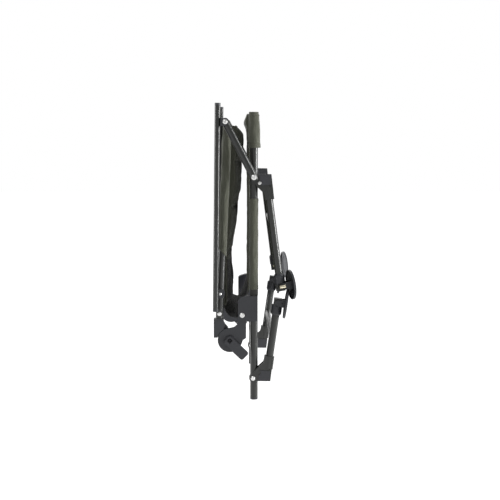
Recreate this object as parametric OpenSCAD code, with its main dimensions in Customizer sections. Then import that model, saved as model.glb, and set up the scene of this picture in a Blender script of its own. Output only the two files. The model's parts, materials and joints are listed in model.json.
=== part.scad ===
// Folding camp chair with armrests, a reclining padded back and telescopic legs on wide feet.
// It is modelled folded flat, standing on the rear ends of its two side rails. +Z runs along
// the rails to the front of the seat, -X is the sitting side, +X the underside, and the
// chair's width lies along Y, with the sitter's right at -Y. Every side part is drawn once in
// a side frame, where X and Z are the chair's own and +Y points outboard from the rail's
// centre line, and every leg part once in a leg frame: +Z along the leg from its pivot on the
// rail, +X away from the rail.

/* [Frame tubes] */
// Outer diameter of the frame tubes
tube_d = 22; // [20:0.5:22]
// Wall of every frame tube
tube_wall = 1.5; // [1:0.25:2]
// Distance between the centre lines of the side rails
rail_spacing = 560; // [520:5:620]
// Length of a side rail without its end caps
rail_length = 824; // [815:1:830]
// Diameter of the leg braces and the backrest's lower bar
brace_d = 16; // [12:1:19]

/* [Armrests] */
// Length of an armrest with its end caps
arm_length = 596; // [580:2:600]
// Thickness of the oval armrest tube
arm_thick = 16.5; // [14:0.5:16.5]
// Width of the oval armrest tube
arm_width = 27; // [24:1:27]

/* [Recliner] */
// Radius of the recliner's round housing
recliner_r = 35; // [33:1:36]
// Length of the locking lever from the recliner's centre
lever_length = 66; // [56:1:68]
// Width of the locking lever
lever_width = 30; // [24:1:30]

/* [Legs and feet] */
// Diameter of a foot plate
foot_d = 87; // [80:1:87]
// Distance from a front foot's pin to its sole
front_foot_height = 35; // [34:0.5:36]
// Distance from a rear foot's pin to its sole
rear_foot_height = 27.5; // [27:0.5:28]
// How far the front inner legs are turned in their tubes
front_foot_twist = 14; // [8:1:14]
// Diameter of a leg's lock collar
collar_d = 31; // [30:0.5:31]
// Length of a leg's lock collar
collar_length = 30; // [28:1:30]
// How far an inner leg can be pulled out
leg_travel = 90; // [60:5:120]

/* [Soft parts] */
// Thickness of the seat panel
seat_thick = 7; // [6:1:13]
// Outer diameter of the fabric sleeves on the tubes
sleeve_d = 25.6; // [25:0.2:26.4]

/* [Hidden] */
$fn = 64;

// Tube and rail positions
tube_r = tube_d / 2;
bore_r = tube_r - tube_wall;
rail_y = rail_spacing / 2;
cap_h = 6;                        // visible height of a rail's end cap
rail_top = cap_h + rail_length;
front_bar_z = rail_top - 14;
rear_bar_z = 135;

// Pivots, as [x, z] in the side frame
recliner_at = [-70.2, 175.5];
arm_rear_at = [-97.2, 313.2];
arm_front_at = [-82.1, 805.3];
front_leg_at = [-0.6, 647.9];
rear_leg_at = [-2.9, 63.8];
pivot_r = 4;                      // pivot bolts and foot pins
play = 0.05;                      // radial running clearance

// Backrest tube: it leans towards the seat as it rises
back_foot_at = [-102.3, 196];
back_lean = 2.5;
back_length = 600;
back_tube_start = 10;
back_sleeve_start = 222;
back_bar_along = 588;
back_low_bar_along = 82;

// Armrest, outboard of the backrest tube, and the post beside it
arm_x = -110;
arm_top_z = 858.4;
arm_s = 28;
arm_face_x = arm_x + arm_thick / 2;
arm_cap_h = 7;
arm_lean = 0.7;                   // the bars lean towards the seat as they rise
clevis_inner = tube_r + 0.4;
clevis_outer = clevis_inner + 3.2;

// Layers of the recliner, outboard from the rail's centre line
housing_in = 1;
housing_out = 11;
block_half = 14;
bracket_in = -12;
bracket_out = 0.5;
lever_hub_in = 11.6;
lever_in = 14.6;
lever_out = 22;

// Legs: lean against the rail, distance of the tube's axis from the pivot, collar's start
front_lean = 7.4;
rear_lean = 8.2;
front_axis_q = 35.7;
rear_axis_q = 38.9;
front_collar_p = 287;
rear_collar_p = 192;
front_brace_p = 150;
rear_brace_p = 120;
cheek_in = tube_r + 0.5;
cheek_out = cheek_in + 2;
pad_out = cheek_out + 2.5;
web_start = 25;                   // the rail reaches 23.1 when the rear legs stand open
pin_ahead = collar_length + 6.5;  // foot pin, from the collar's start
inner_r = bore_r - play;          // inner leg
bracket_rivet_at = [15, 19.2];    // in the leg frame
bracket_rivet_r = 5.5;
yoke_in = collar_d / 2 + 0.4;     // cheeks of a foot
yoke_out = yoke_in + 3.1;
barrel_r = 5;                     // barrel-shaped head of a front foot's pin
barrel_length = 17;

frame_colour = "darkslategray";
plastic_colour = [0.17, 0.17, 0.19];
fabric_colour = "darkolivegreen";
bolt_colour = "silver";

// ---- Frames ----

// Puts a part drawn in the side frame on the right (-Y) or left (+Y) side.
module on_side(right) {
    mirror([0, right ? 1 : 0, 0]) translate([0, rail_y, 0]) children();
}

module both_sides() {
    for (right = [true, false]) on_side(right) children();
}

// Moves a part drawn in the leg frame to its folded place in the side frame.
module front_leg_frame() {
    translate([front_leg_at.x, 0, front_leg_at.y]) mirror([0, 0, 1])
        rotate([0, front_lean, 0]) children();
}

module rear_leg_frame() {
    translate([rear_leg_at.x, 0, rear_leg_at.y]) rotate([0, rear_lean, 0]) children();
}

// Moves a part drawn about a foot's pin to the end of its leg.
module foot_frame(axis_q, collar_p, twist) {
    translate([axis_q, 0, collar_p + pin_ahead]) rotate([0, 0, -twist]) children();
}

// The backrest tube's own line, from its lower end upwards.
module back_frame() {
    translate([back_foot_at.x, 0, back_foot_at.y]) rotate([0, back_lean, 0]) children();
}

// ---- Shapes ----

// Extrudes an XZ outline between two distances from the rail's centre line.
module plate(from, to) {
    translate([0, to, 0]) rotate([90, 0, 0]) linear_extrude(to - from) children();
}

// A round bar across the chair.
module cross_pin(at, from, to, r) {
    translate([at.x, from, at.y]) rotate([-90, 0, 0]) cylinder(h = to - from, r = r);
}

module tube(length, r, wall) {
    difference() {
        cylinder(h = length, r = r);
        translate([0, 0, -1]) cylinder(h = length + 2, r = r - wall);
    }
}

// A domed rivet head standing on the face at distance s.
module rivet_head(at, s, r) {
    cross_pin(at, s, s + 0.8, r);
    translate([at.x, s + 0.8, at.y]) rotate([-90, 0, 0])
        cylinder(h = 1.4, r1 = r, r2 = 0.6 * r);
}

module rounded_rect(length, width, r) {
    translate([0, r]) square([length, width - 2 * r]);
    translate([r, 0]) square([length - 2 * r, width]);
    for (x = [r, length - r], y = [r, width - r]) translate([x, y]) circle(r);
}

// An oval of the given thickness along X and width along Y.
module oval(thick, width) {
    square([thick, width - thick], center = true);
    for (y = [-1, 1]) translate([0, y * (width - thick) / 2]) circle(d = thick);
}

// A tube along Y between two parallel tubes of the frame, its ends fitted to them.
module cross_tube(at, r) {
    difference() {
        cross_pin(at, -rail_y, rail_y, r);
        cross_pin(at, -rail_y - 1, rail_y + 1, r - tube_wall);
    }
}

// ---- Seat frame ----

module seat_rail(right) {
    color(frame_colour) on_side(right) difference() {
        translate([0, 0, cap_h]) tube(rail_length, tube_r, tube_wall);
        for (at = [front_leg_at, rear_leg_at]) cross_pin(at, -tube_d, tube_d, pivot_r);
    }
}

module seat_rail_r() { seat_rail(true); }
module seat_rail_l() { seat_rail(false); }

module rail_bar(z) {
    color(frame_colour) difference() {
        cross_tube([0, z], tube_r - 0.5);
        both_sides() cylinder(h = rail_top, r = tube_r);
    }
}

module front_crossbar() { rail_bar(front_bar_z); }
module rear_crossbar() { rail_bar(rear_bar_z); }

// A cap with a plug that fills the tube's end.
module end_cap() {
    cylinder(h = 1.5, r1 = tube_r - 1.5, r2 = tube_r);
    translate([0, 0, 1.5]) cylinder(h = cap_h - 1.5, r = tube_r);
    translate([0, 0, cap_h]) cylinder(h = 14, r = bore_r);
}

module rail_end_caps() {
    color(plastic_colour) both_sides() end_cap();
}

module seat_panel() {
    panel_half = rail_y - 18;
    color(fabric_colour) translate([-tube_r - 0.6 - seat_thick, -panel_half, 310])
        cube([seat_thick, 2 * panel_half, rail_top - 312]);
}

module sleeve(from, to) {
    translate([0, 0, from]) difference() {
        cylinder(h = to - from, d = sleeve_d);
        translate([0, 0, -1]) cylinder(h = to - from + 2, r = tube_r + 0.3);
    }
}

// Two fabric sleeves on each rail, clear of the front leg's bracket, and clear of the bar
// behind the seat's front edge.
module seat_sleeves() {
    color(fabric_colour) difference() {
        both_sides() {
            sleeve(731, rail_top);
            sleeve(323, 586);
        }
        cross_pin([0, front_bar_z], -rail_y, rail_y, tube_r);
    }
}

// Steps of the bolts at the rails' pivots: through post, bracket and rail in front, through
// bracket and rail behind, and through the recliner.
module frame_pivot_bolts() {
    color(bolt_colour) both_sides() {
        pivot_bolt(front_leg_at, -cheek_out - 0.4, arm_s + tube_r + 0.4, 7.5);
        pivot_bolt(rear_leg_at, -cheek_out - 1, cheek_out + 1, 6.4);
        pivot_bolt(recliner_at, bracket_in - 1, lever_in + 2.8, 5);
    }
}

module pivot_bolt(at, from, to, head_r) {
    cross_pin(at, from, to, pivot_r);
    rivet_head(at, to, head_r);
    translate([0, from, 0]) mirror([0, 1, 0]) rivet_head(at, 0, head_r);
}

// ---- Recliner ----

module recliner_outline() {
    translate(recliner_at) circle(recliner_r);
    polygon([[-46.4, 231], [-22.6, 231], [-23, 181.5], [-32, 176], [-37, 162], [-68, 175],
        [-70, 210.4], [-58, 213], [-50, 220]]);
}

// The block that clasps the rail, with an arm down to the recliner's round housing, which is
// hollow for the lock disc.
module recliner_housing(right) {
    color(plastic_colour) on_side(right) difference() {
        union() {
            plate(housing_in, housing_out) recliner_outline();
            plate(-block_half, block_half)
                polygon([[-46.4, 230.5], [10, 230.5], [10, 304], [-23, 304], [-42, 298],
                    [-46.4, 293]]);
        }
        translate([0, 0, 200]) cylinder(h = 120, r = tube_r);
        cross_pin(recliner_at, -20, 20, pivot_r);
        cross_pin(recliner_at, 0, 5, recliner_r - 8);
    }
}

module recliner_housing_r() { recliner_housing(true); }
module recliner_housing_l() { recliner_housing(false); }

// Toothed discs inside the housings.
module recliner_lock_discs() {
    teeth = 24;
    body_r = recliner_r - 11;
    color(bolt_colour) both_sides() plate(1.2, 4.8) translate(recliner_at) difference() {
        union() {
            circle(body_r);
            for (i = [0:teeth - 1]) rotate(i * 360 / teeth)
                polygon([[body_r - 1, -2], [body_r + 2, -0.8], [body_r + 2, 0.8],
                    [body_r - 1, 2]]);
        }
        circle(pivot_r);
    }
}

module housing_rivets() {
    color(bolt_colour) both_sides() rivet_head([-34.2, 248.8], block_half, 7);
}

// The lever turns on the recliner's bolt, whose head shows in its square window.
module recliner_lever(right) {
    color(plastic_colour) on_side(right) difference() {
        union() {
            cross_pin(recliner_at, lever_hub_in, lever_in + 1, 14);
            plate(lever_in, lever_out - 3) lever_outline(0);
            plate(lever_out - 3, lever_out) lever_outline(1.5);
        }
        cross_pin(recliner_at, lever_hub_in - 1, lever_out + 1, pivot_r + play);
        plate(lever_in + 2.5, lever_out + 1)
            translate(recliner_at) rotate(-44) square(13, center = true);
    }
}

module lever_outline(inset) {
    translate(recliner_at) rotate(-44) translate([-11 + inset, -lever_width / 2 - 3 + inset])
        rounded_rect(lever_length + 11 - 2 * inset, lever_width - 2 * inset, 7);
}

module recliner_lever_r() { recliner_lever(true); }
module recliner_lever_l() { recliner_lever(false); }

// ---- Backrest ----

module backrest_tube(right) {
    color(frame_colour) on_side(right) difference() {
        back_frame() translate([0, 0, back_tube_start])
            tube(back_length - back_tube_start, tube_r, tube_wall);
        cross_pin(arm_rear_at, -tube_d, tube_d, pivot_r);
    }
}

module backrest_tube_r() { backrest_tube(true); }
module backrest_tube_l() { backrest_tube(false); }

module back_bar(along, r, wall_room) {
    difference() {
        back_frame() cross_tube([0, along], r);
        both_sides() back_frame() cylinder(h = back_length, r = tube_r + wall_room);
    }
}

module backrest_top_bar() { color(frame_colour) back_bar(back_bar_along, tube_r - 0.5, 0); }
module backrest_lower_bar() { color(frame_colour) back_bar(back_low_bar_along, brace_d / 2, 0); }

// The moving half of each recliner: a plate behind the housing and a socket for the tube.
module backrest_brackets() {
    color(plastic_colour) both_sides() difference() {
        union() {
            plate(bracket_in, bracket_out) bracket_outline();
            plate(bracket_out - 0.1, block_half) difference() {
                bracket_socket();
                translate(recliner_at) circle(recliner_r + 1.5);
            }
            plate(-block_half, bracket_in + 0.1) bracket_socket();
        }
        back_frame() translate([0, 0, back_tube_start]) cylinder(h = back_length, r = tube_r);
        cross_pin(recliner_at, -20, 20, pivot_r + play);
    }
}

module bracket_socket() {
    polygon([[-116.6, 183.3], [-116.6, 238], [-87.5, 238], [-87.5, 229], [-84, 222],
        [-94, 183.3]]);
}

module bracket_outline() {
    translate(recliner_at) circle(recliner_r - 2);
    bracket_socket();
    polygon([[-100, 190], [-87.5, 229], [-84, 222], [-76, 213], [-70, 180]]);
}

module backrest_rivets() {
    color(bolt_colour) both_sides() rivet_head([-99.9, 252.6], tube_r + 0.05, 6);
}

module armrest_pivot_bolts() {
    color(bolt_colour) both_sides() {
        cross_pin(arm_rear_at, -tube_r - 1, 32, pivot_r);
        rivet_head(arm_rear_at, 32, pivot_r + 0.3);
    }
}

// Padded back between the tubes, bulging towards the seat, with tunnels for the bars.
module back_cushion() {
    half = rail_y - 16;
    color(fabric_colour) difference() {
        plate(-half, half) polygon([[-98, 262], [-95, 400], [-90, 640], [-88, 785], [-80, 798],
            [-66, 803], [-45, 801], [-35, 790], [-32, 745], [-40, 600], [-55, 480], [-64, 400],
            [-62, 320], [-66, 262]]);
        back_frame() {
            cross_pin([0, back_bar_along], -rail_y, rail_y, tube_r - 0.2);
            cross_pin([0, back_low_bar_along], -rail_y, rail_y, brace_d / 2 + 0.3);
        }
    }
}

module back_sleeves() {
    color(fabric_colour) difference() {
        both_sides() back_frame() sleeve(back_sleeve_start, back_length - 2);
        back_frame() cross_pin([0, back_bar_along], -rail_y, rail_y, tube_r - 0.2);
    }
}

// ---- Armrests ----

// X of the armrest's inner face at a height, level with the rear pivot at arm_face_x.
function arm_face(z) = arm_face_x + (z - arm_rear_at.y) * tan(arm_lean);

// Moves a part drawn on the Z axis to the armrest's own line.
module arm_frame() {
    translate([arm_x, arm_s, arm_rear_at.y]) rotate([0, arm_lean, 0])
        translate([0, 0, -arm_rear_at.y]) children();
}

module armrest(right) {
    length = arm_length - 2 * arm_cap_h;
    color(frame_colour) on_side(right) arm_frame()
        translate([0, 0, arm_top_z - arm_length + arm_cap_h]) difference() {
            linear_extrude(length) oval(arm_thick, arm_width);
            translate([0, 0, -1]) linear_extrude(length + 2)
                oval(arm_thick - 2 * tube_wall, arm_width - 2 * tube_wall);
        }
}

module armrest_r() { armrest(true); }
module armrest_l() { armrest(false); }

module armrest_caps(right) {
    color(plastic_colour) on_side(right) arm_frame() for (front = [true, false])
        translate([0, 0, front ? arm_top_z : arm_top_z - arm_length])
            mirror([0, 0, front ? 1 : 0]) {
                linear_extrude(arm_cap_h) oval(arm_thick, arm_width);
                translate([0, 0, arm_cap_h]) linear_extrude(12)
                    oval(arm_thick - 2 * tube_wall, arm_width - 2 * tube_wall);
            }
}

module armrest_caps_r() { armrest_caps(true); }
module armrest_caps_l() { armrest_caps(false); }

// An outline standing on the armrest's inner face, out to a given X.
module arm_base(from, to, x) {
    polygon([[arm_face(from), from], [x, from], [x, to], [arm_face(to), to]]);
}

// The clevis under the armrest's front, with a cheek either side of the post's free end.
module armrest_clevis(right) {
    color(plastic_colour) on_side(right) translate([0, arm_s, 0]) {
        for (out = [true, false]) mirror([0, out ? 0 : 1, 0]) {
            plate(clevis_inner, clevis_outer) {
                translate(arm_front_at) circle(10.5);
                arm_base(793, 815.5, arm_front_at.x);
            }
        }
        plate(-clevis_outer, clevis_outer) arm_base(793, 815.5, arm_face(793) + 1.6);
    }
}

// A rivet on the outside of each cheek.
module armrest_rivets(right) {
    color(bolt_colour) on_side(right) translate([0, arm_s, 0])
        for (out = [0, 1]) mirror([0, out, 0]) rivet_head(arm_front_at, clevis_outer, 6.8);
}

module armrest_rivets_r() { armrest_rivets(true); }
module armrest_rivets_l() { armrest_rivets(false); }
module armrest_clevis_r() { armrest_clevis(true); }
module armrest_clevis_l() { armrest_clevis(false); }

// The lug under the armrest's rear end, which turns on the backrest's bolt.
module armrest_lug(right) {
    color(plastic_colour) on_side(right) difference() {
        plate(tube_r + 1, 31.6) {
            arm_base(300, 326, arm_rear_at.x);
            intersection() {
                translate(arm_rear_at) circle(13);
                arm_base(290, 340, 0);
            }
        }
        cross_pin(arm_rear_at, 0, 40, pivot_r + play);
    }
}

module armrest_lug_r() { armrest_lug(true); }
module armrest_lug_l() { armrest_lug(false); }

// The round post from the rail's front pivot to the armrest's clevis, with rounded ends.
module armrest_post(right) {
    run = arm_front_at - front_leg_at;
    length = norm(run);
    tilt = atan2(run.x, run.y);
    color(frame_colour) on_side(right)
        translate([front_leg_at.x, arm_s, front_leg_at.y]) rotate([0, tilt, 0])
            difference() {
                intersection() {
                    translate([0, 0, -tube_r]) cylinder(h = length + tube_d, r = tube_r);
                    plate(-tube_r, tube_r) {
                        circle(tube_r);
                        translate([0, length]) circle(tube_r);
                        translate([-tube_r, 0]) square([tube_d, length]);
                    }
                }
                translate([0, 0, 14]) cylinder(h = length - 28, r = bore_r);
                cross_pin([0, 0], -tube_d, tube_d, pivot_r + play);
            }
}

module armrest_post_r() { armrest_post(true); }
module armrest_post_l() { armrest_post(false); }

// ---- Legs, drawn in the leg frame ----

module cheek_outline() {
    circle(tube_r);
    polygon([[0, -11], [16, -6], [51, -1], [50, 70], [24, 70], [24, 57], [22.8, 50], [7, 31],
        [-10.5, 3]]);
}

// Two cheeks astride the rail, a sleeve for the leg tube and a web at the outer edge, which
// stays off the rail when the leg stands open.
module leg_bracket(axis_q) {
    difference() {
        union() {
            for (face = [-cheek_out, cheek_in]) plate(face, face + 2) cheek_outline();
            translate([axis_q, 0, 32]) cylinder(h = 38, r = cheek_out + 1);
            plate(-cheek_out, cheek_out) translate([48, web_start])
                square([2, 70 - web_start]);
        }
        translate([axis_q, 0, 0]) cylinder(h = 100, r = tube_r);
        cross_pin([0, 0], -20, 20, pivot_r + play);
        cross_pin([43, 32], cheek_in - 1, 20, 2);
    }
}

// Plastic pads on the outside of the cheeks, clear of the bracket's rivet.
module leg_pads() {
    for (face = [-pad_out, cheek_out]) plate(face, face + 2.5) difference() {
        polygon([[16, -5.5], [50, -1], [46.5, 28], [15, 26]]);
        translate(bracket_rivet_at) circle(bracket_rivet_r + 0.4);
    }
}

module leg_tube(axis_q, collar_p) {
    translate([axis_q, 0, 26]) tube(collar_p + collar_length - 30, tube_r, tube_wall);
}

// Twist-lock collar: it turns on the end of the outer tube and grips the inner leg.
module lock_collar(axis_q, collar_p) {
    translate([axis_q, 0, collar_p]) difference() {
        union() {
            cylinder(h = 5, r1 = tube_r + 1.6, r2 = collar_d / 2);
            translate([0, 0, 5]) cylinder(h = collar_length - 5, d = collar_d);
        }
        translate([0, 0, -1]) cylinder(h = collar_length - 2.5, r = tube_r + play);
        cylinder(h = collar_length + 1, r = bore_r);
        cross_pin([0, collar_length + 3], -20, 20, 7);
    }
}

// Brace between the right and left leg of a pair.
module leg_brace(axis_q, along) {
    difference() {
        cross_tube([axis_q, along], brace_d / 2);
        both_sides() translate([axis_q, 0, 0]) cylinder(h = along + 50, r = tube_r);
    }
}

// Inner leg with the block that holds the foot's pin.
module inner_leg(axis_q, collar_p, twist) {
    start = collar_p - leg_travel - 40;
    block_start = collar_p + collar_length + 0.5;
    difference() {
        union() {
            translate([axis_q, 0, start]) cylinder(h = block_start - start + 1, r = inner_r);
            translate([axis_q, 0, block_start]) rotate([0, 0, -twist])
                translate([-11, -13, 0]) cube([22, 26, 19]);
        }
        translate([axis_q, 0, start - 1])
            cylinder(h = block_start - start - 6, r = inner_r - tube_wall);
        foot_frame(axis_q, collar_p, twist) cross_pin([0, 0], -20, 20, pivot_r + play);
    }
}

// Round foot plate with a raised rim, a hub and two cheeks astride the leg's end.
module foot_yoke(foot_height) {
    plate_t = 3.5;
    hub_r = 8.5;
    cheek_half = 12;
    difference() {
        union() {
            translate([foot_height - plate_t, 0, 0]) rotate([0, 90, 0])
                cylinder(h = plate_t, d = foot_d);
            translate([foot_height - 6, 0, 0]) rotate([0, 90, 0])
                tube(6, foot_d / 2, 3);
            for (face = [-yoke_out, yoke_in]) plate(face, face + 3.1) {
                circle(hub_r);
                polygon([[0, -hub_r], [foot_height - 3, -cheek_half], [foot_height - 3, cheek_half],
                    [0, hub_r]]);
            }
            for (turn = [0:30:150]) translate([foot_height - plate_t, 0, 0])
                rotate([turn, 0, 0]) translate([-1.5, -1, -foot_d / 2 + 2])
                    cube([2.5, 2, foot_d - 4]);
        }
        cross_pin([0, 0], -20, 20, pivot_r);
        translate([foot_height - 1.2, 0, 0]) rotate([0, 90, 0]) tube(3, foot_d / 2 - 6, 9);
    }
}

module foot_rivets() {
    for (out = [0, 1]) mirror([0, out, 0]) rivet_head([12, 0], yoke_out, 2.8);
}

module front_legs() { both_sides() front_leg_frame() children(); }
module rear_legs() { both_sides() rear_leg_frame() children(); }

module front_leg_brackets() { color(frame_colour) front_legs() leg_bracket(front_axis_q); }
module rear_leg_brackets() { color(frame_colour) rear_legs() leg_bracket(rear_axis_q); }
module front_leg_pads() { color(plastic_colour) front_legs() leg_pads(); }
module rear_leg_pads() { color(plastic_colour) rear_legs() leg_pads(); }

module front_bracket_rivets() {
    color(bolt_colour) front_legs() rivet_head(bracket_rivet_at, cheek_out, bracket_rivet_r);
}

module front_leg_brace() {
    color(frame_colour) front_leg_frame() leg_brace(front_axis_q, front_brace_p);
}

module rear_leg_brace() {
    color(frame_colour) rear_leg_frame() leg_brace(rear_axis_q, rear_brace_p);
}

module front_collar(right) {
    color(plastic_colour) on_side(right) front_leg_frame()
        lock_collar(front_axis_q, front_collar_p);
}

module rear_collar(right) {
    color(plastic_colour) on_side(right) rear_leg_frame()
        lock_collar(rear_axis_q, rear_collar_p);
}

module front_collar_r() { front_collar(true); }
module front_collar_l() { front_collar(false); }
module rear_collar_r() { rear_collar(true); }
module rear_collar_l() { rear_collar(false); }

module front_leg_tube(right) {
    color(frame_colour) on_side(right) front_leg_frame() leg_tube(front_axis_q, front_collar_p);
}

module rear_leg_tube(right) {
    color(frame_colour) on_side(right) rear_leg_frame() leg_tube(rear_axis_q, rear_collar_p);
}

module front_leg_tube_r() { front_leg_tube(true); }
module front_leg_tube_l() { front_leg_tube(false); }
module rear_leg_tube_r() { rear_leg_tube(true); }
module rear_leg_tube_l() { rear_leg_tube(false); }

module front_inner_leg(right) {
    color(frame_colour) on_side(right) front_leg_frame()
        inner_leg(front_axis_q, front_collar_p, front_foot_twist);
}

module rear_inner_leg(right) {
    color(frame_colour) on_side(right) rear_leg_frame()
        inner_leg(rear_axis_q, rear_collar_p, 0);
}

module front_inner_leg_r() { front_inner_leg(true); }
module front_inner_leg_l() { front_inner_leg(false); }
module rear_inner_leg_r() { rear_inner_leg(true); }
module rear_inner_leg_l() { rear_inner_leg(false); }

module front_foot(right) {
    color(plastic_colour) on_side(right) front_leg_frame()
        foot_frame(front_axis_q, front_collar_p, front_foot_twist)
            foot_yoke(front_foot_height);
}

// The rear foot's pin is plain and stays with its yoke.
module rear_foot(right) {
    color(plastic_colour) on_side(right) rear_leg_frame()
        foot_frame(rear_axis_q, rear_collar_p, 0) {
            foot_yoke(rear_foot_height);
            foot_rivets();
            cross_pin([0, 0], -yoke_out, yoke_out, pivot_r);
        }
}

module front_foot_r() { front_foot(true); }
module front_foot_l() { front_foot(false); }
module rear_foot_r() { rear_foot(true); }
module rear_foot_l() { rear_foot(false); }

// Brass pin whose outboard end is a barrel lying across the leg.
module front_foot_pin(right) {
    color("goldenrod") on_side(right) front_leg_frame()
        foot_frame(front_axis_q, front_collar_p, front_foot_twist) {
            cross_pin([0, 0], -yoke_in - 0.5, yoke_out + barrel_r, pivot_r);
            translate([-barrel_length / 2, yoke_out + barrel_r + 0.05, 0]) rotate([0, 90, 0])
                cylinder(h = barrel_length, r = barrel_r);
        }
}

module front_foot_pin_r() { front_foot_pin(true); }
module front_foot_pin_l() { front_foot_pin(false); }

// ---- Nodes ----

seat_rail_r();
seat_rail_l();
front_crossbar();
rear_crossbar();
rail_end_caps();
seat_panel();
seat_sleeves();
recliner_housing_r();
recliner_housing_l();
recliner_lock_discs();
frame_pivot_bolts();
housing_rivets();
backrest_tube_r();
backrest_tube_l();
backrest_top_bar();
backrest_lower_bar();
backrest_brackets();
backrest_rivets();
armrest_pivot_bolts();
back_cushion();
back_sleeves();
armrest_r();
armrest_l();
armrest_caps_r();
armrest_caps_l();
armrest_clevis_r();
armrest_clevis_l();
armrest_rivets_r();
armrest_rivets_l();
armrest_lug_r();
armrest_lug_l();
armrest_post_r();
armrest_post_l();
recliner_lever_r();
recliner_lever_l();
front_leg_brackets();
front_bracket_rivets();
front_leg_pads();
front_leg_tube_r();
front_leg_tube_l();
front_leg_brace();
front_collar_r();
front_collar_l();
rear_leg_brackets();
rear_leg_pads();
rear_leg_tube_r();
rear_leg_tube_l();
rear_leg_brace();
rear_collar_r();
rear_collar_l();
front_inner_leg_r();
front_inner_leg_l();
rear_inner_leg_r();
rear_inner_leg_l();
front_foot_r();
front_foot_l();
rear_foot_r();
rear_foot_l();
front_foot_pin_r();
front_foot_pin_l();
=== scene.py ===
"""Looks for the folding camp chair: fabric, seams, materials, camera and studio.

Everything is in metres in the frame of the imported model. The chair stands folded on the ends of
its two rails: +Z runs to the front of the seat, -X is the sitting side, and the width is along Y.
"""

import json
import math

import bmesh
import bpy
import numpy as np
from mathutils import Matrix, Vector, noise
from mathutils.bvhtree import BVHTree


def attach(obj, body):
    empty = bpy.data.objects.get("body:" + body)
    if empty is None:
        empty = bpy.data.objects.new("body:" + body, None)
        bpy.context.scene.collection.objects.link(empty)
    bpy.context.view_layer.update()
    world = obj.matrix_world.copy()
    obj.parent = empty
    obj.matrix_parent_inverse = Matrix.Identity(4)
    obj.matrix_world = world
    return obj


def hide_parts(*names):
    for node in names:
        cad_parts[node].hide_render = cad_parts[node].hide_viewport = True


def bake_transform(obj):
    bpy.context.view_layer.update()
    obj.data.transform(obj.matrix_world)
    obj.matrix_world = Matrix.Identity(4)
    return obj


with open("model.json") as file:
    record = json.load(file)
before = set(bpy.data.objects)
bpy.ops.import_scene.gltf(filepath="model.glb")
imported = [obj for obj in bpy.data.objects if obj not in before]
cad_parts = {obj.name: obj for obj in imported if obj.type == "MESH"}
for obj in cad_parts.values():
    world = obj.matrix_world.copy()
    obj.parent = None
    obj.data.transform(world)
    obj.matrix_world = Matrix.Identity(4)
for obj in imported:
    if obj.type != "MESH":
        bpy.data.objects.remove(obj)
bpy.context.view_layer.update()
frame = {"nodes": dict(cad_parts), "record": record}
NODES = frame["nodes"]
SCENE = bpy.context.scene

# ---- Sizes, in metres, that repeat the chair's own ----
RAIL_Y = 0.280
TUBE_R = 0.011
BACK_FOOT = Vector((-0.1023, 0, 0.196))
BACK_LEAN = math.radians(2.5)
SLEEVE_R = 0.0128
CLOTH = 0.0014           # thickness of the fabric
SIDES = {"r": -1, "l": 1}


# ---- Node helpers ----

class Shader:
    """A material's node tree with short calls for the nodes used here."""

    def __init__(self, name):
        self.material = bpy.data.materials.new(name)
        self.material.use_nodes = True
        self.tree = self.material.node_tree
        self.surface = self.tree.nodes["Principled BSDF"]
        self.place = self.tree.nodes.new("ShaderNodeTexCoord").outputs["Object"]

    def add(self, kind, inputs=None, **settings):
        """A new node, with its settings and its inputs, each a number, a colour or a socket."""
        made = self.tree.nodes.new(kind)
        for key, value in settings.items():
            setattr(made, key, value)
        for key, value in (inputs or {}).items():
            self.put(made.inputs[key], value)
        return made

    def put(self, socket, value):
        if isinstance(value, bpy.types.NodeSocket):
            self.tree.links.new(value, socket)
        else:
            socket.default_value = value

    def noise(self, scale, detail=2.0, stretch=(1, 1, 1), rough=0.5):
        """Noise from 0 to 1 on the object's own coordinates."""
        spot = self.add("ShaderNodeMapping", {"Vector": self.place, "Scale": stretch})
        return self.add("ShaderNodeTexNoise", {"Vector": spot.outputs[0], "Scale": scale,
                                               "Detail": detail, "Roughness": rough}).outputs[0]

    def math(self, operation, a, b=0.0):
        return self.add("ShaderNodeMath", {0: a, 1: b}, operation=operation).outputs[0]

    def ramp(self, value, low, high, start=0.0, end=1.0):
        """Maps value from [start, end] to [low, high], clamped."""
        return self.add("ShaderNodeMapRange", {
            "Value": value, "From Min": start, "From Max": end, "To Min": low,
            "To Max": high}).outputs[0]

    def mix(self, factor, first, second):
        """A colour between two colours."""
        node = self.add("ShaderNodeMix", {0: factor, 6: first, 7: second}, data_type="RGBA")
        return node.outputs[2]

    def bump(self, height, strength, distance, normal=None):
        inputs = {"Height": height, "Strength": strength, "Distance": distance}
        if normal is not None:
            inputs["Normal"] = normal
        return self.add("ShaderNodeBump", inputs).outputs[0]

    def finish(self, **sockets):
        for key, value in sockets.items():
            self.put(self.surface.inputs[key.replace("_", " ")], value)
        return self.material


def rgb(red, green, blue):
    return (red, green, blue, 1.0)


def powder_coat():
    """Dark olive-black powder coat with orange peel, dust and rubbed spots."""
    s = Shader("powder_coat")
    peel = s.noise(1100, 2)
    tone = s.noise(14, 3)
    rub = s.ramp(s.noise(60, 6, (1, 1, 0.25), 0.65), 0, 1, 0.62, 0.72)
    colour = s.mix(tone, rgb(0.010, 0.011, 0.010), rgb(0.017, 0.018, 0.016))
    colour = s.mix(s.math("MULTIPLY", rub, 0.4), colour, rgb(0.042, 0.044, 0.040))
    rough = s.math("ADD", s.ramp(tone, 0.26, 0.34), s.math("MULTIPLY", rub, 0.10))
    return s.finish(Base_Color=colour, Roughness=rough,
                    Normal=s.bump(peel, 0.25, 0.00015))


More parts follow.
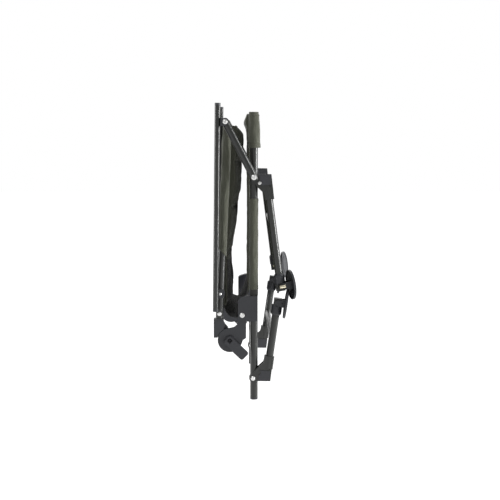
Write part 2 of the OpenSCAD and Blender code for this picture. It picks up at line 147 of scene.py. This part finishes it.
def moulded_plastic():
    """Charcoal moulded plastic with a fine spark-eroded grain and scuffs."""
    s = Shader("moulded_plastic")
    grain = s.noise(1900, 3)
    tone = s.noise(30, 3)
    scuff = s.ramp(s.noise(120, 5, (0.3, 1, 1), 0.7), 0, 1, 0.60, 0.74)
    colour = s.mix(tone, rgb(0.012, 0.013, 0.016), rgb(0.021, 0.022, 0.027))
    colour = s.mix(s.math("MULTIPLY", scuff, 0.45), colour, rgb(0.055, 0.056, 0.062))
    rough = s.math("ADD", s.ramp(tone, 0.42, 0.55), s.math("MULTIPLY", scuff, 0.12))
    return s.finish(Base_Color=colour, Roughness=rough,
                    Normal=s.bump(grain, 0.35, 0.00012))


def woven_fabric(name, dark, light, thread=0.0011, painted_shade_below=None):
    """Plain weave: threads along Z cross threads along X and Y, over soft creases. Below a given
    height, if one is given, painted shade darkens the cloth, standing in for the shadow on the
    pad's lower side."""
    s = Shader(name)
    split = s.add("ShaderNodeSeparateXYZ", {"Vector": s.place})
    turns = 2 * math.pi / thread
    across = s.math("ADD", split.outputs[0], split.outputs[1])
    warp = s.math("SINE", s.math("MULTIPLY", across, turns))
    weft = s.math("SINE", s.math("MULTIPLY", split.outputs[2], turns))
    weave = s.math("MULTIPLY", warp, weft)
    fuzz = s.noise(2600, 3, rough=0.7)
    crease = s.noise(48, 5, (1, 1, 0.35), 0.6)
    patch = s.noise(11, 3)
    thread_tone = s.ramp(s.math("ADD", weave, fuzz), 0.0, 1.0, -0.4, 1.6)
    colour = s.mix(thread_tone, dark, light)
    colour = s.mix(s.ramp(patch, 0.0, 0.45, 0.35, 0.75), colour, dark)
    if painted_shade_below is not None:
        # Painted shade: below the given height the cloth turns near-black, for the shadow on the
        # pad's lower side.
        painted_shade_mask = s.ramp(split.outputs[2], 1.0, 0.0, painted_shade_below, painted_shade_below + 0.001)
        colour = s.mix(painted_shade_mask, colour, rgb(0.013, 0.012, 0.011))
    fine = s.bump(s.math("ADD", weave, s.math("MULTIPLY", fuzz, 0.8)), 0.45, 0.0003)
    folds = s.bump(crease, 0.55, 0.006, fine)
    return s.finish(Base_Color=colour, Roughness=0.88, Normal=folds,
                    Sheen_Weight=0.25, Sheen_Roughness=0.45)


def plated_metal(name, colour, shade, rough, black_between=None):
    """Bright plated or turned metal with fine scratches and small stains. It is blackened
    between the two heights black_between, if they are given."""
    s = Shader(name)
    scratch = s.noise(700, 4, (1, 1, 0.1), 0.6)
    stain = s.noise(90, 4)
    tone = s.mix(s.ramp(stain, 0.0, 0.6, 0.45, 0.75), colour, shade)
    if black_between:
        height = s.add("ShaderNodeSeparateXYZ", {"Vector": s.place}).outputs[2]
        low, high = black_between
        black = s.math("MULTIPLY", s.math("GREATER_THAN", height, low),
                       s.math("LESS_THAN", height, high))
        tone = s.mix(black, tone, rgb(0.030, 0.030, 0.033))
    return s.finish(Base_Color=tone, Metallic=1.0,
                    Roughness=s.ramp(scratch, rough - 0.06, rough + 0.12, 0.3, 0.7),
                    Normal=s.bump(scratch, 0.15, 0.0001))


def stitched_thread():
    """Twisted sewing thread, a little lighter than the cloth."""
    s = Shader("sewing_thread")
    twist = s.noise(3000, 2)
    colour = s.mix(twist, rgb(0.030, 0.031, 0.022), rgb(0.095, 0.096, 0.072))
    return s.finish(Base_Color=colour, Roughness=0.7, Normal=s.bump(twist, 0.4, 0.0002))


OLIVE_DARK = rgb(0.031, 0.033, 0.021)
OLIVE_LIGHT = rgb(0.082, 0.086, 0.061)
ZINC_LIGHT = rgb(0.72, 0.72, 0.71)
ZINC_DARK = rgb(0.45, 0.45, 0.44)
MATERIALS = {
    "coated_steel": powder_coat(),
    "plastic": moulded_plastic(),
    "fabric": woven_fabric("olive_weave", OLIVE_DARK, OLIVE_LIGHT),
    # The back's cover, with painted shade below 0.405 m for the shadow on the pad's lower side.
    "cover": woven_fabric("olive_weave_painted_shade", OLIVE_DARK, OLIVE_LIGHT, painted_shade_below=0.405),
    "lining": woven_fabric("dark_weave", rgb(0.010, 0.010, 0.009), rgb(0.026, 0.025, 0.022)),
    "zinc": plated_metal("zinc_plate", ZINC_LIGHT, ZINC_DARK, 0.30),
    "pivot_bolts": plated_metal("zinc_plate_and_black", ZINC_LIGHT, ZINC_DARK, 0.30,
                                black_between=(0.165, 0.186)),
    "steel": plated_metal("stamped_steel", rgb(0.52, 0.52, 0.52), rgb(0.34, 0.33, 0.32), 0.36),
    "brass": plated_metal("turned_brass", rgb(0.86, 0.80, 0.62), rgb(0.60, 0.50, 0.32), 0.22),
    "thread": stitched_thread(),
}


# ---- Mesh helpers ----

def grid_faces(rows, columns, closed=False):
    """Quads of a grid of points, row by row. A closed grid joins its last column to its first."""
    faces = []
    for i in range(rows - 1):
        for j in range(columns if closed else columns - 1):
            k = (j + 1) % columns
            faces.append((i * columns + j, i * columns + k,
                          (i + 1) * columns + k, (i + 1) * columns + j))
    return faces


def make(name, points, faces, material):
    """A smooth-shaded mesh object in the row frame, with its normals facing out."""
    mesh = bpy.data.meshes.new(name)
    mesh.from_pydata([tuple(p) for p in points], [], faces)
    work = bmesh.new()
    work.from_mesh(mesh)
    bmesh.ops.recalc_face_normals(work, faces=work.faces)
    work.to_mesh(mesh)
    work.free()
    mesh.shade_smooth()
    mesh.materials.append(MATERIALS[material])
    piece = bpy.data.objects.new(name, mesh)
    SCENE.collection.objects.link(piece)
    return piece


def apply_modifiers(piece):
    """Replaces the piece's mesh by what its modifiers make of it."""
    bpy.context.view_layer.update()
    shaped = piece.evaluated_get(bpy.context.evaluated_depsgraph_get())
    mesh = bpy.data.meshes.new_from_object(shaped)
    piece.modifiers.clear()
    piece.data = mesh
    mesh.shade_smooth()


def subdivide(piece, levels=1):
    piece.modifiers.new("smooth", "SUBSURF").levels = levels
    apply_modifiers(piece)


def coordinates(piece):
    flat = np.empty(len(piece.data.vertices) * 3)
    piece.data.vertices.foreach_get("co", flat)
    return flat.reshape(-1, 3)


def set_coordinates(piece, points):
    piece.data.vertices.foreach_set("co", points.ravel())
    piece.data.update()


def stuffed(piece, voxel, pressure, cap, frames=20):
    """Remeshes a closed form and blows it up as cloth, no point moving further than cap."""
    remesh = piece.modifiers.new("remesh", "REMESH")
    remesh.mode = "VOXEL"
    remesh.voxel_size = voxel
    apply_modifiers(piece)
    rest = coordinates(piece)
    cloth = piece.modifiers.new("cloth", "CLOTH")
    cloth.settings.use_pressure = True
    cloth.settings.uniform_pressure_force = pressure
    cloth.settings.effector_weights.gravity = 0
    cloth.settings.quality = 4
    cloth.point_cache.frame_start = 1
    cloth.point_cache.frame_end = frames
    for step in range(1, frames + 1):
        SCENE.frame_set(step)
    apply_modifiers(piece)
    SCENE.frame_set(1)
    move = coordinates(piece) - rest
    length = np.linalg.norm(move, axis=1, keepdims=True)
    set_coordinates(piece, rest + move * np.minimum(1, cap / np.maximum(length, 1e-9)))


def crumple(piece, height, scale, stretch=(1, 1, 1), seed=0.0):
    """Moves every point along its normal by soft noise, for folds and creases."""
    normals = np.empty(len(piece.data.vertices) * 3)
    piece.data.vertices.foreach_get("normal", normals)
    points = coordinates(piece)
    for index, normal in enumerate(normals.reshape(-1, 3)):
        spot = Vector(points[index] * np.array(stretch) * scale) + Vector((seed, seed, seed))
        ridge = 1 - 2 * abs(noise.fractal(spot, 0.8, 2.1, 3))
        points[index] += normal * height * (ridge - 0.6)
    set_coordinates(piece, points)


def tube_points(path, radius, sides):
    """Rings of points round a path, for cords, piping and stitches."""
    rings = []
    up = Vector((0.31, 0.47, 0.83)).normalized()
    for i, spot in enumerate(path):
        ahead = (path[min(i + 1, len(path) - 1)] - path[max(i - 1, 0)]).normalized()
        side = ahead.cross(up).normalized()
        other = ahead.cross(side)
        for k in range(sides):
            turn = 2 * math.pi * k / sides
            rings.append(spot + (side * math.cos(turn) + other * math.sin(turn)) * radius)
    return rings


def piping(name, path, radius, body, material="fabric"):
    """A welt along a path that ends where it starts."""
    path = path + path[:2]
    piece = make(name, tube_points(path, radius, 8),
                 grid_faces(len(path), 8, True), material)
    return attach(piece, body)


def stitches(name, runs, body, pitch=0.0042, length=0.0030, radius=0.00045):
    """Rows of sewing stitches, each a small rounded bar lying along its run."""
    points, faces = [], []
    for run in runs:
        left = 0.0
        for a, b in zip(run, run[1:]):
            span = (b - a).length
            while left < span:
                start = a.lerp(b, left / span)
                ahead = (b - a).normalized()
                bar = [start + ahead * length * t for t in (0, 0.15, 0.85, 1)]
                ring = tube_points(bar, radius, 6)
                for k in range(6):
                    ring[k] = ring[k].lerp(bar[0], 0.6)
                    ring[18 + k] = ring[18 + k].lerp(bar[3], 0.6)
                base = len(points)
                points += ring
                faces += [tuple(base + v for v in f) for f in grid_faces(4, 6, True)]
                faces += [tuple(base + v for v in range(6)),
                          tuple(base + 18 + v for v in range(6))]
                left += pitch
            left -= span
    piece = make(name, points, faces, "thread")
    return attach(piece, body)


def surface_of(piece):
    work = bmesh.new()
    work.from_mesh(piece.data)
    tree = BVHTree.FromBMesh(work)
    work.free()
    return tree


def snapped(path, tree, lift):
    """The path laid on a surface, standing off it by lift."""
    laid = []
    for spot in path:
        found, normal, _, _ = tree.find_nearest(spot)
        laid.append(found + normal * lift)
    return laid


def between(a, b, count):
    return [a.lerp(b, i / (count - 1)) for i in range(count)]


# ---- Fabric sleeves ----

def back_line(along, y=0.0):
    """A point on the backrest tube's centre line."""
    return BACK_FOOT + Vector((math.sin(BACK_LEAN) * along, y, math.cos(BACK_LEAN) * along))


def sleeve(name, body, start, end, radius, shift=lambda t: 0.0, cut=0.0, seed=0.0,
           hems=(True, True), folds=0.0011):
    """A tube of cloth from start to end. radius(t) and shift(t) give its radius and how far it
    hangs towards +X; cut slants its start; each hem is a doubled band with a row of stitches."""
    rings, sides = 72, 56
    hem = 0.011
    axis = (end - start)
    length = axis.length
    ahead = axis.normalized()
    out = Vector((0, 1, 0))
    front = out.cross(ahead).normalized()
    outer, inner = [], []
    for i in range(rings):
        t = i / (rings - 1)
        near_end = min(t, 1 - t) * length
        band = any(hems[k] and (t if k == 0 else 1 - t) * length < hem for k in (0, 1))
        for k in range(sides):
            turn = 2 * math.pi * k / sides
            way = front * math.cos(turn) + out * math.sin(turn)
            slant = cut * (1 - math.cos(turn)) / 2 * (1 - t) ** 6
            spot = start + ahead * (t * length - slant) + front * shift(t)
            calm = min(1.0, near_end / 0.03)
            wave = noise.fractal(Vector((math.cos(turn) * 1.3, math.sin(turn) * 1.3,
                                         t * length * 26 + seed)), 0.7, 2.0, 3)
            swell = radius(t) + folds * calm * wave + (0.0007 if band else 0)
            outer.append(spot + way * swell)
            inner.append(spot + way * max(TUBE_R + 0.0003, swell - CLOTH))
    faces = grid_faces(2 * rings, sides, True)
    base = (2 * rings - 1) * sides
    # The inner rings run back to the start, each turned round, and close onto the first ring.
    points = outer + [inner[(rings - 1 - i) * sides + k]
                      for i in range(rings) for k in range(sides)]
    faces += [(base + k, base + (k + 1) % sides, (k + 1) % sides, k) for k in range(sides)]
    piece = make(name, points, faces, "fabric")
    subdivide(piece)
    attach(piece, body)
    tree = surface_of(piece)
    runs = []
    for k, place in ((0, hem / length), (1, 1 - hem / length)):
        if hems[k]:
            centre = start.lerp(end, place) + front * shift(place)
            ring = [centre + (front * math.cos(a) + out * math.sin(a)) * radius(place)
                    for a in np.linspace(0, 2 * math.pi, 41)]
            runs.append(snapped(ring, tree, 0.0002))
    if runs:
        stitches(name + "_stitches", runs, body)
    return piece


def eased(t, start, end):
    """Rises smoothly from 0 at start to 1 at end."""
    share = min(1.0, max(0.0, (t - start) / (end - start)))
    return share * share * (3 - 2 * share)


def rail_sleeves(side):
    """The seat's two sleeves on one rail, and the darker cuff behind them."""
    y = SIDES[side] * RAIL_Y
    front_low, front_high = 0.731, 0.8335
    rear_low, rear_high = 0.323, 0.586
    cuff_low, cuff_high = 0.3055, 0.325
    front = sleeve(
        f"seat_sleeve_front_{side}", "chair_frame",
        Vector((0, y, front_low)), Vector((0, y, front_high)),
        lambda t: 0.0172 - 0.0018 * t - 0.0022 * eased(t, 0.90, 0.95),
        lambda t: 0.0012 * (1 - t) - 0.0008 * t, seed=3.0 + y, folds=0.0015)
    rear = sleeve(
        f"seat_sleeve_rear_{side}", "chair_frame",
        Vector((0, y, rear_low)), Vector((0, y, rear_high)),
        lambda t: SLEEVE_R + 0.0002 * math.sin(9 * t), lambda t: -0.0007, seed=5.0 + y)
    cuff = sleeve(
        f"seat_cuff_{side}", "chair_frame",
        Vector((0, y, cuff_low)), Vector((0, y, cuff_high)),
        lambda t: 0.0118, hems=(False, False), folds=0.0002, seed=7.0)
    cuff.data.materials[0] = MATERIALS["lining"]
    return front


def back_sleeve(side):
    """The cover's pocket on one backrest tube, cut on a slant at its lower end."""
    y = SIDES[side] * RAIL_Y
    start, end = back_line(0.2225, y), back_line(0.603, y)
    piece = sleeve(
        f"back_sleeve_{side}", "backrest", start, end,
        lambda t: 0.0126 + 0.0006 * math.sin(2.6 * t + 0.4) - 0.004 * max(0, t - 0.975) * 40,
        cut=-0.026, seed=11.0 + y, folds=0.0015)
    return piece


# ---- Padded back and seat ----

# Half-thickness and middle of the back's pad, as (z, rear x, front x), up its height.
BACK_SECTIONS = (
    (0.262, -0.0950, -0.0680), (0.300, -0.0975, -0.0660), (0.345, -0.0965, -0.0700),
    (0.400, -0.0945, -0.0730), (0.430, -0.0940, -0.0700), (0.460, -0.0935, -0.0655),
    (0.500, -0.0925, -0.0585), (0.520, -0.0920, -0.0550), (0.580, -0.0905, -0.0500),
    (0.600, -0.0900, -0.0445), (0.665, -0.0890, -0.0405), (0.700, -0.0885, -0.0390),
    (0.745, -0.0880, -0.0350), (0.785, -0.0860, -0.0320), (0.797, -0.0830, -0.0345),
    (0.805, -0.0740, -0.0450))
BACK_HALF = 0.2655
BACK_CHANNELS = (0.43, 0.56, 0.69)
RIM_ROUND = 0.013        # distance over which a pad thins towards its rim
SEAT_HALF = 0.2785
SEAT_LOW, SEAT_HIGH = 0.311, 0.829
SEAT_CHANNELS = (0.41, 0.52, 0.63, 0.74)
SEAT_TOP_X, SEAT_UNDER_X = -0.0180, -0.0122


def section_at(sections, z):
    heights = [row[0] for row in sections]
    return [float(np.interp(z, heights, [row[k] for row in sections])) for k in (1, 2)]


def pad(name, half, low, high, rear_front, pull, inset, waist=0.0):
    """A closed cushion form. rear_front(z) gives its two faces; the form thins towards its rim
    by pull, and its sides draw in by waist between the corners."""
    rows, columns = 40, 40
    rear, front = [], []
    for i in range(rows):
        v = i / (rows - 1)
        z = low + inset + (high - low - 2 * inset) * v
        x0, x1 = rear_front(z)
        middle, thick = (x0 + x1) / 2, (x1 - x0) / 2 - inset
        for j in range(columns):
            u = math.sin(math.pi * (j / (columns - 1) - 0.5))
            narrow = waist * math.sin(math.pi * v)
            y = u * (half - inset - narrow)
            rim = min(1 - abs(u), 1 - abs(2 * v - 1)) * half / RIM_ROUND
            full = 1 - pull * math.exp(-rim)
            rear.append((middle - thick * full, y, z))
            front.append((middle + thick * full, y, z))
    faces = grid_faces(rows, columns)
    count = rows * columns
    faces += [tuple(count + v for v in reversed(f)) for f in grid_faces(rows, columns)]
    border = ([j for j in range(columns)]
              + [i * columns + columns - 1 for i in range(1, rows)]
              + [(rows - 1) * columns + j for j in range(columns - 2, -1, -1)]
              + [i * columns for i in range(rows - 2, 0, -1)])
    for a, b in zip(border, border[1:] + border[:1]):
        faces.append((a, b, count + b, count + a))
    return make(name, rear + front, faces, "fabric")


def keep_inside(piece, low, high):
    """Presses the piece back within a box."""
    set_coordinates(piece, np.clip(coordinates(piece), low, high))


def groove(piece, lines, depth, width, face_sign):
    """Sewn channels: horizontal lines pressed into the face that looks along face_sign X."""
    points = coordinates(piece)
    normals = np.empty(len(points) * 3)
    piece.data.vertices.foreach_get("normal", normals)
    facing = normals.reshape(-1, 3)[:, 0] * face_sign > 0.3
    for line in lines:
        away = (points[:, 2] - line) / width
        points[facing, 0] -= face_sign * depth * np.exp(-away[facing] ** 2)
    set_coordinates(piece, points)


def rim_path(half, low, high, x_at, corner=0.02, count=44):
    """A rounded rectangle round a pad's edge, in Y and Z, at the X that x_at(z) gives."""
    path = []
    corners = ((half, high, 0), (-half, high, 90), (-half, low, 180), (half, low, 270))
    for y, z, turn in corners:
        cy, cz = y - math.copysign(corner, y), z - math.copysign(corner, z - (low + high) / 2)
        for step in range(7):
            angle = math.radians(turn + step * 15)
            path.append(Vector((x_at(cz), cy + corner * math.cos(angle),
                                cz + corner * math.sin(angle))))
        following = corners[(corners.index((y, z, turn)) + 1) % 4]
        last = path[-1]
        fy = following[0] - math.copysign(corner, following[0])
        fz = following[1] - math.copysign(corner, following[1] - (low + high) / 2)
        angle = math.radians(following[2])
        target = Vector((x_at(fz), fy + corner * math.cos(angle),
                         fz + corner * math.sin(angle)))
        for spot in between(last, target, count)[1:-1]:
            path.append(Vector((x_at(spot.z), spot.y, spot.z)))
    return path


def make_back():
    """The padded back: a crowned pad that is thickest at the shoulders, piped at both edges."""
    back = pad("back_cushion_cover", BACK_HALF, BACK_SECTIONS[0][0], BACK_SECTIONS[-1][0],
               lambda z: section_at(BACK_SECTIONS, z), 0.50, 0.0045, 0.003)
    stuffed(back, 0.0065, 4.0, 0.009)
    crumple(back, 0.0040, 9.0, (1, 0.8, 0.75), 2.0)
    crumple(back, 0.0018, 30.0, (1, 1, 0.8), 5.0)
    subdivide(back)
    groove(back, BACK_CHANNELS, 0.006, 0.006, 1)
    keep_inside(back, (-0.1005, -BACK_HALF, 0.259), (-0.027, BACK_HALF, 0.8075))
    # The cover material carries painted shade below 0.405 m, for the shadow on the pad's lower
    # side.
    back.data.materials[0] = MATERIALS["cover"]
    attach(back, "backrest")
    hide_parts("back_cushion")
    tree = surface_of(back)
    for edge, share in (("rear", 0.12), ("front", 0.86)):
        def x_at(z, share=share):
            x0, x1 = section_at(BACK_SECTIONS, z)
            return x0 + (x1 - x0) * share
        path = snapped(rim_path(BACK_HALF, 0.262, 0.803, x_at), tree, 0.0008)
        piping(f"back_piping_{edge}", path, 0.0021, "backrest")
    runs = []
    for line in BACK_CHANNELS:
        x = section_at(BACK_SECTIONS, line)[1] + 0.01
        run = between(Vector((x, -BACK_HALF + 0.02, line)), Vector((x, BACK_HALF - 0.02, line)), 90)
        runs.append(snapped(run, tree, 0.0003))
    stitches("back_channel_stitches", runs, "backrest")
    return back


def make_seat():
    """The thin padded seat, stretched between the rails, with a rolled front edge."""
    def faces_at(z):
        roll = 0.0125 * math.exp(-((z - 0.806) / 0.017) ** 2)
        return SEAT_TOP_X - roll, SEAT_UNDER_X
    seat = pad("seat_pad", SEAT_HALF, SEAT_LOW, SEAT_HIGH, faces_at, 0.45, 0.0003)
    subdivide(seat, 2)
    crumple(seat, 0.0009, 10.0, (1, 0.9, 0.5), 8.0)
    groove(seat, SEAT_CHANNELS, 0.0016, 0.005, -1)
    keep_inside(seat, (-0.036, -SEAT_HALF, SEAT_LOW - 0.002), (-0.0115, SEAT_HALF, 0.8335))
    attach(seat, "chair_frame")
    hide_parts("seat_panel")
    tree = surface_of(seat)
    path = snapped(rim_path(SEAT_HALF - 0.004, SEAT_LOW + 0.004, SEAT_HIGH - 0.003,
                            lambda z: SEAT_TOP_X), tree, 0.0004)
    piping("seat_piping", path, 0.0016, "chair_frame")
    runs = []
    for line in SEAT_CHANNELS:
        run = between(Vector((-0.04, -SEAT_HALF + 0.02, line)),
                      Vector((-0.04, SEAT_HALF - 0.02, line)), 90)
        runs.append(snapped(run, tree, 0.0003))
    stitches("seat_channel_stitches", runs, "chair_frame")
    return seat


# The slack cloth that joins the seat to the back, as (x, z), from the seat to the back.
JOIN_PATH = ((-0.0165, 0.3160), (-0.0185, 0.3060), (-0.0215, 0.2900), (-0.0290, 0.2680),
             (-0.0375, 0.2460), (-0.0475, 0.2350), (-0.0580, 0.2370), (-0.0690, 0.2430),
             (-0.0790, 0.2520), (-0.0860, 0.2620), (-0.0880, 0.2720))


def make_joining_cloth():
    half, columns, rows = 0.255, 60, 44
    steps = [0.0]
    for a, b in zip(JOIN_PATH, JOIN_PATH[1:]):
        steps.append(steps[-1] + math.dist(a, b))
    rows_at = np.linspace(0, steps[-1], rows)
    xs = np.interp(rows_at, steps, [p[0] for p in JOIN_PATH])
    zs = np.interp(rows_at, steps, [p[1] for p in JOIN_PATH])
    points = []
    for i in range(rows):
        slack = math.sin(math.pi * i / (rows - 1))
        for j in range(columns):
            y = half * (2 * j / (columns - 1) - 1)
            fold = noise.fractal(Vector((y * 9, i * 0.10, 4.0)), 0.8, 2.0, 3)
            drop = 0.006 * slack * math.cos(y * 7.0) ** 2
            points.append((xs[i] + 0.0035 * slack * fold, y, zs[i] + 0.004 * slack * fold - drop))
    cloth = make("back_joining_cloth", points, grid_faces(rows, columns), "lining")
    thick = cloth.modifiers.new("cloth", "SOLIDIFY")
    thick.thickness = CLOTH
    apply_modifiers(cloth)
    subdivide(cloth)
    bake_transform(cloth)
    return cloth


# ---- CAD nodes that stay ----

def dress_cad_nodes():
    """Gives every CAD node its material, and soft corners to the moulded ones."""
    slots = {part["node"]: part["material_slot"] for part in frame["record"]["subparts"]}
    for name, node in NODES.items():
        node.data.materials.clear()
        look = "pivot_bolts" if name == "frame_pivot_bolts" else slots[name]
        node.data.materials.append(MATERIALS[look])
        node.data.shade_smooth()
        node.data.set_sharp_from_angle(angle=math.radians(35))
        if slots[name] in ("plastic", "brass"):
            bevel = node.modifiers.new("corners", "BEVEL")
            bevel.width = 0.0010
            bevel.segments = 2
            bevel.limit_method = "ANGLE"
            bevel.angle_limit = math.radians(40)


# ---- Studio ----

def area_light(name, place, target, size, energy):
    data = bpy.data.lights.new(name, "AREA")
    data.shape = "RECTANGLE"
    data.size, data.size_y = size
    data.energy = energy
    light = bpy.data.objects.new(name, data)
    light.location = place
    light.rotation_euler = (Vector(target) - Vector(place)).to_track_quat("-Z", "Y").to_euler()
    SCENE.collection.objects.link(light)


def studio_world():
    """A white room that is darker on the side of the chair's right armrest."""
    world = bpy.data.worlds.new("studio_world")
    world.use_nodes = True
    nodes, links = world.node_tree.nodes, world.node_tree.links
    direction = nodes.new("ShaderNodeTexCoord").outputs["Generated"]
    split = nodes.new("ShaderNodeSeparateXYZ")
    links.new(direction, split.inputs[0])
    strength = nodes.new("ShaderNodeMapRange")
    links.new(split.outputs["Y"], strength.inputs["Value"])
    for key, value in (("From Min", -0.3), ("From Max", 0.5), ("To Min", 0.42), ("To Max", 1.0)):
        strength.inputs[key].default_value = value
    background = nodes["Background"]
    background.inputs["Color"].default_value = rgb(1.0, 1.0, 1.0)
    links.new(strength.outputs[0], background.inputs["Strength"])
    return world


def make_studio():
    reach = 12.0
    floor = make("studio_floor", [(-reach, -reach, 0), (reach, -reach, 0),
                                  (reach, reach, 0), (-reach, reach, 0)],
                 [(0, 1, 2, 3)], "thread")
    shader = Shader("studio_white")
    floor.data.materials[0] = shader.finish(
        Base_Color=rgb(0.35, 0.35, 0.35), Roughness=1.0, Specular_IOR_Level=0.0,
        Emission_Color=rgb(1.0, 1.0, 1.0), Emission_Strength=0.82)
    SCENE.world = studio_world()
    middle = (-0.02, 0, 0.45)
    lights = (
        ("key", (-1.3, -2.8, 2.6), (1.2, 1.2), 18),
        ("right_strip", (2.3, -0.7, 0.9), (0.22, 1.8), 95),
        ("left_strip", (-2.4, -0.2, 0.9), (0.25, 1.8), 30),
        ("back", (0.6, 2.6, 2.2), (2.0, 1.4), 30))
    for name, place, size, energy in lights:
        area_light(name, place, middle, size, energy)
    SCENE.view_settings.view_transform = "Standard"


def make_camera():
    """The photograph's camera: low in front of the chair's right side, with a long lens."""
    data = bpy.data.cameras.new("camera")
    data.lens = 89.95
    data.sensor_width = 36
    camera = bpy.data.objects.new("camera", data)
    camera.location = (-0.0405, -3.870, 0.780)
    aim = Vector((-0.0115, -RAIL_Y, 0.437))
    camera.rotation_euler = (aim - camera.location).to_track_quat("-Z", "Y").to_euler()
    SCENE.collection.objects.link(camera)
    SCENE.camera = camera


# ---- The chair ----

make_camera()
make_studio()
dress_cad_nodes()
front_sleeves = [rail_sleeves(side) for side in SIDES]
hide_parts("seat_sleeves")
back_sleeves = [back_sleeve(side) for side in SIDES]
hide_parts("back_sleeves")
make_back()
make_seat()
make_joining_cloth()
